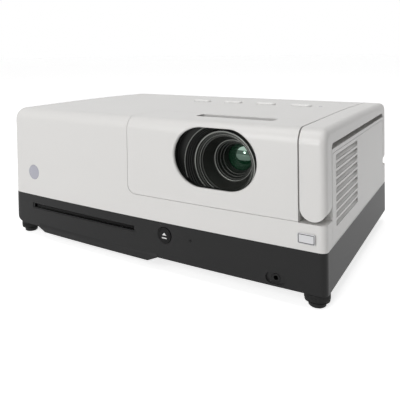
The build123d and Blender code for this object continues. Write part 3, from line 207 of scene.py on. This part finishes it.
silver = moulded("silver_badge_paint", (0.50, 0.50, 0.51), 0.30, grain=1500.0, depth=0.05, metal=0.6)
smoke = moulded("smoke_lens", (0.36, 0.36, 0.42), 0.12, grain=200.0, depth=0.01, speck=0.02, coat=0.6)
board = moulded("circuit_board_green", (0.02, 0.11, 0.045), 0.35, grain=300.0, depth=0.3, speck=0.3)
socket_yellow = gloss_ring("yellow_socket_ring", (0.70, 0.50, 0.03))
socket_white = gloss_ring("white_socket_ring", (0.72, 0.72, 0.70))
socket_red = gloss_ring("red_socket_ring", (0.45, 0.02, 0.02))
socket_blue = gloss_ring("blue_socket_insert", (0.02, 0.07, 0.30))
hood_finish = ringed("satin_hood", (0.045, 0.047, 0.043), 0.34, pitch=0.0011, depth=0.35, metal=0.5)
funnel_finish = ringed("ribbed_funnel", (0.005, 0.0055, 0.0048), 0.36, pitch=0.0016, depth=0.5)
lens_glass = coated_glass("coated_front_glass", (0.012, 0.035, 0.022))

finishes = {
    white: ["upper_case", "front_fascia", "side_panel", "carry_handle"],
    key_white: ["power_button", "source_button", "menu_button", "volume_button"],
    dark: ["lower_case"],
    black: ["rear_panel", "headphone_jack", "exhaust_fan_frame", "exhaust_fan_impeller", "intake_fan_frame",
            "intake_fan_impeller", "mains_inlet", "speakers", "laser_pickup", "left_foot_wheel",
            "right_foot_wheel"],
    inner_black: ["zoom_cell", "mid_frame", "lens_barrel"],
    rubber: ["rear_feet", "loading_roller", "left_foot_pad", "right_foot_pad"],
    steel: ["handle_pins", "lamp_housing", "drive_chassis", "drive_cover", "spindle_motor", "turntable",
            "pickup_rods", "pickup_screw", "case_screws", "vga_socket"],
    alloy: ["optical_engine", "focus_ring", "zoom_ring"],
    silver: ["badge_plate"],
    smoke: ["sensor_window", "status_light"],
    button_black: ["eject_button", "disc_light"],
    board: ["ballast", "main_board", "power_supply", "front_board", "key_board"],
    brass: ["rca_sockets"],
    foam: ["air_filter"],
    hood_finish: ["lens_hood"],
    funnel_finish: ["lens_shroud"],
    lens_glass: ["front_lens", "zoom_lens", "lamp_bulb"],
}
for finish, names in finishes.items():
    for name in names:
        for holder in nodes[name].material_slots:
            holder.material = finish

# ---- modelling by hand ---------------------------------------------------------
# Sizes and places below are in millimetres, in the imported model's frame.
DOUBLES_GAP = 0.000002
SMOOTH_ANGLE = math.radians(35)
SOFTEN_ANGLE = math.radians(40)
FREE = 1000.0  # keeps a flat primitive's missing direction at its own size


def alone():
    """Leave nothing selected, so that an operator acts on the new piece only."""
    if bpy.context.object and bpy.context.object.mode == "EDIT":
        bpy.ops.object.mode_set(mode="OBJECT")
    bpy.ops.object.select_all(action="DESELECT")


def stretched(x, y, z):
    """Size the new primitive, and put its place and size in its mesh."""
    bpy.ops.transform.resize(value=(x * MM, y * MM, z * MM))
    bpy.ops.object.transform_apply(location=True, rotation=True, scale=True)


def upright_face():
    """Turn the new flat primitive's lie into its mesh, so that it can be sized along X and Z."""
    bpy.ops.object.transform_apply(location=False, rotation=True, scale=False)


def pick_faces(wanted):
    """Leave edit mode's selection on the faces that the test wants."""
    bpy.ops.mesh.select_mode(type="FACE")
    bpy.ops.mesh.select_all(action="DESELECT")
    bpy.ops.object.mode_set(mode="OBJECT")
    for face in bpy.context.object.data.polygons:
        face.select = wanted(face)
    bpy.ops.object.mode_set(mode="EDIT")


def pulled(distance):
    """Give a flat outline its thickness along Y, with its faces outwards."""
    bpy.ops.mesh.select_all(action="SELECT")
    bpy.ops.mesh.extrude_region_move(TRANSFORM_OT_translate={"value": (0.0, distance * MM, 0.0)})
    bpy.ops.mesh.select_all(action="SELECT")
    bpy.ops.mesh.normals_make_consistent(inside=False)


def repeated(name, count, step):
    """Copy the piece along a step, within its own mesh."""
    if bpy.context.object.mode == "EDIT":
        bpy.ops.object.mode_set(mode="OBJECT")
    row = bpy.context.object.modifiers.new(name, "ARRAY")
    row.count = count
    row.use_relative_offset = False
    row.use_constant_offset = True
    row.constant_offset_displace = [v * MM for v in step]
    bpy.ops.object.modifier_apply(modifier=row.name)


def settle(name, finish, body, soften=0.0, segments=2):
    """Name the piece, soften its edges, give it its finish and hang it on a body."""
    if bpy.context.object.mode == "EDIT":
        bpy.ops.object.mode_set(mode="OBJECT")
    piece = bpy.context.object
    bpy.ops.object.transform_apply(location=True, rotation=True, scale=True)
    piece.name = name
    piece.data.name = name
    if soften:
        edges = piece.modifiers.new("soft_edges", "BEVEL")
        edges.width = soften * MM
        edges.segments = segments
        edges.angle_limit = SOFTEN_ANGLE
        bpy.ops.object.modifier_apply(modifier=edges.name)
    bpy.ops.object.shade_smooth_by_angle(angle=SMOOTH_ANGLE)
    piece.data.materials.clear()
    piece.data.materials.append(finish)
    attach(piece, body)
    return piece


def soft_block(name, low, high, finish, body, soften=0.2):
    """A block between two corners, with softened edges."""
    alone()
    middle = [(a + b) / 2 * MM for a, b in zip(low, high)]
    bpy.ops.mesh.primitive_cube_add(size=1.0, location=middle)
    stretched(*[b - a for a, b in zip(low, high)])
    return settle(name, finish, body, soften)


def turned_band(name, radii, span, centre, finish, body, upright=False, soften=0.15, segments=2, steps=96,
                grooves=0.0):
    """A ring spun from a section with rounded corners, about a line along Y, or along Z if upright."""
    alone()
    inner, outer = radii
    spoke = (inner + outer) / 2
    along = sum(span) / 2
    if upright:
        place = (centre[0] + spoke, centre[1], along)
        middle = Vector((centre[0], centre[1], 0.0)) * MM
        line = Vector((0.0, 0.0, 1.0))
        bpy.ops.mesh.primitive_plane_add(size=1.0, location=[v * MM for v in place],
                                         rotation=(math.pi / 2, 0, 0))
        upright_face()
        stretched(outer - inner, FREE, span[1] - span[0])
    else:
        place = (centre[0] + spoke, along, centre[1])
        middle = Vector((centre[0], 0.0, centre[1])) * MM
        line = Vector((0.0, 1.0, 0.0))
        bpy.ops.mesh.primitive_plane_add(size=1.0, location=[v * MM for v in place])
        stretched(outer - inner, span[1] - span[0], FREE)
    bpy.ops.object.mode_set(mode="EDIT")
    bpy.ops.mesh.select_all(action="SELECT")
    bpy.ops.mesh.bevel(offset=soften * MM, segments=segments, affect="VERTICES")
    bpy.ops.mesh.select_all(action="SELECT")
    bpy.ops.mesh.delete(type="ONLY_FACE")
    bpy.ops.mesh.select_all(action="SELECT")
    bpy.ops.mesh.spin(steps=steps, angle=2 * math.pi, center=middle, axis=line)
    bpy.ops.mesh.select_all(action="SELECT")
    bpy.ops.mesh.remove_doubles(threshold=DOUBLES_GAP)
    bpy.ops.mesh.normals_make_consistent(inside=False)
    if grooves:
        cut_grooves(middle, line, steps, outer * MM, grooves * MM)
    return settle(name, finish, body)


def cut_grooves(middle, line, steps, radius, depth):
    """Sink every other face of a band's rim, which leaves the ribs that a finger grips."""
    nearly = 0.99

    def in_groove(face):
        spoke = face.center - middle
        spoke -= line * spoke.dot(line)
        angle = math.atan2(spoke.z if line.y else spoke.y, spoke.x) % (2 * math.pi)
        on_rim = spoke.length > radius * nearly and face.normal.dot(spoke.normalized()) > nearly
        return on_rim and int(angle / (2 * math.pi) * steps) % 2 == 0

    pick_faces(in_groove)
    bpy.ops.mesh.extrude_region_shrink_fatten(TRANSFORM_OT_shrink_fatten={"value": -depth})
    bpy.ops.mesh.select_all(action="SELECT")


# ---- lens: trim bands, and ribbed adjusting rings ------------------------------
LENS = (LENS_X, LENS_Z)
FOCUS_RING_Y, ZOOM_RING_Y = -90.1, -83.5
RING_WIDTH = 6.2

turned_band("funnel_front_band", radii=(34.0, 34.8), span=(-115.3, -114.6), centre=LENS,
            finish=trim_metal, body="case", soften=0.2, segments=3)
turned_band("hood_front_band", radii=(27.2, 28.6), span=(-108.85, -108.2), centre=LENS,
            finish=trim_metal, body="focus_group", soften=0.25, segments=3)
turned_band("hood_second_band", radii=(24.5, 25.1), span=(-105.5, -105.0), centre=LENS,
            finish=trim_metal, body="focus_group", soften=0.12)
turned_band("throat_band", radii=(17.4, 18.6), span=(-90.7, -89.9), centre=LENS,
            finish=trim_metal, body="focus_group", soften=0.3, segments=3)
turned_band("glass_retainer", radii=(11.9, 12.7), span=(-75.9, -75.0), centre=LENS,
            finish=button_black, body="focus_group", soften=0.2, segments=3)
for label, front, body in (("focus_ring", FOCUS_RING_Y, "focus_collar"),
                           ("zoom_ring", ZOOM_RING_Y, "zoom_collar")):
    ribbed = turned_band(label + "_ribbed", radii=(31.06, 34.6), span=(front, front + RING_WIDTH),
                         centre=LENS, finish=button_black, body=body, soften=0.5, segments=3, steps=144,
                         grooves=0.5)
    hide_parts(label)

# ---- feet: rounded grip round each screwed wheel -------------------------------
FOOT_X, FOOT_Y = 159.0, -107.0

for side, label in ((-1, "left"), (1, "right")):
    turned_band(label + "_foot_grip", radii=(7.4, 9.95), span=(4.7, 11.7), centre=(side * FOOT_X, FOOT_Y),
                finish=rubber, body=label + "_foot_screw", upright=True, soften=2.2, segments=6, steps=120,
                grooves=0.22)

# ---- disc slot: felt strips that keep dust out ---------------------------------
SLOT_LEFT_X, SLOT_RIGHT_X = -137.2, -3.8
SLOT_Z = 34.3
FELT_FRONT_Y, FELT_BACK_Y = -117.5, -116.7
FELT_REACH = 2.7
FELT_PARTING = 0.15

for label, low_z, high_z in (("lower", SLOT_Z - FELT_REACH, SLOT_Z - FELT_PARTING),
                             ("upper", SLOT_Z + FELT_PARTING, SLOT_Z + FELT_REACH)):
    soft_block("slot_felt_" + label, (SLOT_LEFT_X, FELT_FRONT_Y, low_z), (SLOT_RIGHT_X, FELT_BACK_Y, high_z),
               felt_and_hole_shade, "case", soften=0.15)

# ---- eject sign: white triangle and bar laid in the button ---------------------
EJECT_X, EJECT_Z = 30.0, 34.2
SIGN_FLOOR_Y = -123.54
SIGN_THICKNESS = 0.28
SIGN_RADIUS_X, SIGN_RADIUS_Z = 3.0, 1.93
TRIANGLE_RISE = 0.52
BAR_HALF_WIDTH = 2.6
BAR_DROP_LOW, BAR_DROP_HIGH = 2.85, 1.75
SIGN_SOFTENING = 0.06

alone()
bpy.ops.mesh.primitive_circle_add(vertices=3, radius=1.0, fill_type="NGON", rotation=(math.pi / 2, 0, 0),
                                  location=(EJECT_X * MM, SIGN_FLOOR_Y * MM, (EJECT_Z + TRIANGLE_RISE) * MM))
upright_face()
stretched(SIGN_RADIUS_X, FREE, SIGN_RADIUS_Z)
bpy.ops.object.mode_set(mode="EDIT")
pulled(-SIGN_THICKNESS)
settle("eject_sign_triangle", print_white, "eject_key", soften=SIGN_SOFTENING)
soft_block("eject_sign_bar",
           (EJECT_X - BAR_HALF_WIDTH, SIGN_FLOOR_Y - SIGN_THICKNESS, EJECT_Z - BAR_DROP_LOW),
           (EJECT_X + BAR_HALF_WIDTH, SIGN_FLOOR_Y, EJECT_Z - BAR_DROP_HIGH),
           print_white, "eject_key", soften=SIGN_SOFTENING)

# ---- small plate: a dark printed frame on its bare silver face -----------------
PLATE_X, PLATE_Z = 155.4, 54.6
PLATE_FACE_Y = -121.74
FRAME_WIDTH, FRAME_HEIGHT = 12.4, 6.8
FRAME_CORNER = 0.7
FRAME_LINE = 0.55
FRAME_THICKNESS = 0.08

alone()
bpy.ops.mesh.primitive_plane_add(size=1.0, location=(PLATE_X * MM, PLATE_FACE_Y * MM, PLATE_Z * MM),
                                 rotation=(math.pi / 2, 0, 0))
upright_face()
stretched(FRAME_WIDTH, FREE, FRAME_HEIGHT)
bpy.ops.object.mode_set(mode="EDIT")
bpy.ops.mesh.select_all(action="SELECT")
bpy.ops.mesh.bevel(offset=FRAME_CORNER * MM, segments=3, affect="VERTICES")
bpy.ops.mesh.select_all(action="SELECT")
bpy.ops.mesh.inset(thickness=FRAME_LINE * MM)
bpy.ops.mesh.delete(type="FACE")
pulled(-FRAME_THICKNESS)
settle("badge_frame", border_grey, "case")

# ---- exhaust: sloped blades in the louvre openings -----------------------------
LOUVRE_COUNT = 9
LOUVRE_PITCH = 6.4
LOUVRE_TOP_Z = 111.4
BLADE_X, BLADE_Y = 168.55, -55.8
BLADE_DROP = 0.95
BLADE_DEPTH, BLADE_LENGTH, BLADE_THICKNESS = 3.1, 72.5, 0.7
BLADE_TILT = math.radians(-42)

alone()
lowest_z = LOUVRE_TOP_Z - (LOUVRE_COUNT - 1) * LOUVRE_PITCH - BLADE_DROP
bpy.ops.mesh.primitive_cube_add(size=1.0, location=(BLADE_X * MM, BLADE_Y * MM, lowest_z * MM))
bpy.ops.transform.resize(value=(BLADE_DEPTH * MM, BLADE_LENGTH * MM, BLADE_THICKNESS * MM))
bpy.ops.transform.rotate(value=BLADE_TILT, orient_axis="Y", center_override=bpy.context.object.location)
bpy.ops.object.transform_apply(location=True, rotation=True, scale=True)
repeated("blades", LOUVRE_COUNT, (0.0, 0.0, LOUVRE_PITCH))
settle("exhaust_louvre_blades", white, "case", soften=0.15)

# ---- back: coloured socket rings -----------------------------------------------
SOCKET_Z = 56.9

for label, x, finish in (("video", 8.0, socket_yellow), ("left_audio", 26.0, socket_white),
                         ("right_audio", 44.0, socket_red)):
    turned_band(label + "_insulator", radii=(1.7, 3.3), span=(123.9, 124.65), centre=(x, SOCKET_Z),
                finish=finish, body="case", steps=48)
    turned_band(label + "_collar", radii=(4.2, 5.1), span=(114.9, 116.0), centre=(x, SOCKET_Z),
                finish=finish, body="case", soften=0.2, steps=64)

# ---- back: monitor socket's insert, with three rows of black discs painted as the shade in its contact holes ---
MONITOR_X = -30.0
INSERT_BACK_Y, INSERT_FACE_Y = 120.6, 121.2
INSERT_HALF_WIDTH, INSERT_HALF_HEIGHT = 7.7, 3.3
HOLE_RADIUS = 0.5
HOLE_SHADE_FACE_Y = 121.23
HOLE_SHADE_THICKNESS = 0.06
HOLES_PER_ROW = 5
HOLE_PITCH = 2.2
ROW_PITCH = 2.0
ROW_STAGGER = 1.1
FIRST_HOLE_OFFSET = 4.6

soft_block("monitor_socket_insert",
           (MONITOR_X - INSERT_HALF_WIDTH, INSERT_BACK_Y, SOCKET_Z - INSERT_HALF_HEIGHT),
           (MONITOR_X + INSERT_HALF_WIDTH, INSERT_FACE_Y, SOCKET_Z + INSERT_HALF_HEIGHT),
           socket_blue, "case", soften=0.3)
# Each contact hole is a flat black disc on the insert's face: painted shade in place of the hole's dark
# recess.
for row in range(3):
    hole_x = MONITOR_X - FIRST_HOLE_OFFSET + row % 2 * ROW_STAGGER
    hole_z = SOCKET_Z + (1 - row) * ROW_PITCH
    alone()
    bpy.ops.mesh.primitive_circle_add(vertices=16, radius=HOLE_RADIUS * MM, fill_type="NGON",
                                      rotation=(-math.pi / 2, 0, 0),
                                      location=(hole_x * MM, HOLE_SHADE_FACE_Y * MM, hole_z * MM))
    bpy.ops.object.transform_apply(location=True, rotation=True, scale=True)
    bpy.ops.object.mode_set(mode="EDIT")
    pulled(HOLE_SHADE_THICKNESS)
    repeated("holes", HOLES_PER_ROW, (HOLE_PITCH, 0.0, 0.0))
    settle("monitor_socket_hole_shade_row_%d" % (row + 1), felt_and_hole_shade, "case")

# ---- back: the panel's four screws ---------------------------------------------
SCREW_X = 91.0
SCREW_LOW_Z, SCREW_HIGH_Z = 53.5, 111.0
SCREW_Y = 115.45
SCREW_RADIUS = 2.5
SCREW_HEAD = 1.0
SCREW_RIM = 1.2
SCREW_RECESS = 0.7

screw_places = [(x, z) for z in (SCREW_LOW_Z, SCREW_HIGH_Z) for x in (-SCREW_X, SCREW_X)]
for number, (x, z) in enumerate(screw_places, start=1):
    alone()
    bpy.ops.mesh.primitive_cylinder_add(vertices=32, radius=SCREW_RADIUS * MM, depth=SCREW_HEAD * MM,
                                        rotation=(math.pi / 2, 0, 0), location=(x * MM, SCREW_Y * MM, z * MM))
    bpy.ops.object.transform_apply(location=True, rotation=True, scale=True)
    bpy.ops.object.mode_set(mode="EDIT")
    pick_faces(lambda face: face.normal.y > 0.9)
    bpy.ops.mesh.inset(thickness=SCREW_RIM * MM)
    bpy.ops.mesh.extrude_region_move(TRANSFORM_OT_translate={"value": (0.0, -SCREW_RECESS * MM, 0.0)})
    settle("panel_screw_%d" % number, steel, "case", soften=0.25, segments=3)

# ---- studio --------------------------------------------------------------------
FLOOR_SIZE = 30.0
FLOOR_Z = -0.0002
FLOOR_GLOW = 0.74
ROOM_LIGHT = 0.20
BACKDROP_LIGHT = 1.0


def seen_or_mirrored(tree):
    """1 for what the camera sees straight, mirrored or through glass, and 0 for light on the object."""
    rays = tree.nodes.new("ShaderNodeLightPath")
    total = rays.outputs["Is Camera Ray"]
    for kind in ("Is Glossy Ray", "Is Transmission Ray"):
        either = tree.nodes.new("ShaderNodeMath")
        either.operation = "ADD"
        either.use_clamp = True
        tree.links.new(total, either.inputs[0])
        tree.links.new(rays.outputs[kind], either.inputs[1])
        total = either.outputs[0]
    return total


def lay_floor():
    """A pale floor that fades into the backdrop and keeps the object's shadow."""
    bpy.ops.object.select_all(action="DESELECT")
    bpy.ops.mesh.primitive_plane_add(size=FLOOR_SIZE, location=(0.0, 0.0, FLOOR_Z))
    floor = bpy.context.object
    floor.name = "floor"
    material, tree, shader = new_material("pale_floor")
    shader.inputs["Base Color"].default_value = (0.86, 0.86, 0.86, 1.0)
    shader.inputs["Roughness"].default_value = 0.9
    glow = tree.nodes.new("ShaderNodeMath")
    glow.operation = "MULTIPLY"
    glow.inputs[1].default_value = FLOOR_GLOW
    tree.links.new(seen_or_mirrored(tree), glow.inputs[0])
    shader.inputs["Emission Color"].default_value = (1.0, 1.0, 1.0, 1.0)
    tree.links.new(glow.outputs[0], shader.inputs["Emission Strength"])
    floor.data.materials.append(material)


def light_room():
    """A white backdrop that lights the object softly."""
    world = bpy.data.worlds.new("studio")
    bpy.context.scene.world = world
    world.use_nodes = True
    tree = world.node_tree
    sky = tree.nodes["Background"]
    sky.inputs["Color"].default_value = (1.0, 1.0, 1.0, 1.0)
    level = tree.nodes.new("ShaderNodeMapRange")
    level.inputs["To Min"].default_value = ROOM_LIGHT
    level.inputs["To Max"].default_value = BACKDROP_LIGHT
    tree.links.new(seen_or_mirrored(tree), level.inputs["Value"])
    tree.links.new(level.outputs["Result"], sky.inputs["Strength"])


def soft_light(name, place, aim, size, watts):
    """A soft box aimed at a point."""
    lamp = bpy.data.lights.new(name, "AREA")
    lamp.shape = "RECTANGLE"
    lamp.size, lamp.size_y = size
    lamp.energy = watts
    holder = bpy.data.objects.new(name, lamp)
    bpy.context.scene.collection.objects.link(holder)
    direction = Vector(aim) - Vector(place)
    turn = direction.to_track_quat("-Z", "Y").to_matrix().to_4x4()
    holder.matrix_world = Matrix.Translation(place) @ turn


lay_floor()
light_room()
soft_light("key_box", place=(-0.35, -1.7, 0.85), aim=(0.0, 0.0, 0.06), size=(1.2, 0.9), watts=14.0)
soft_light("top_box", place=(0.0, -0.25, 1.6), aim=(0.0, 0.0, 0.1), size=(1.4, 1.2), watts=10.5)
soft_light("lens_glint", place=(-0.08, -1.3, 0.2), aim=(0.0815, -0.075, 0.0995), size=(0.12, 0.12), watts=1.2)
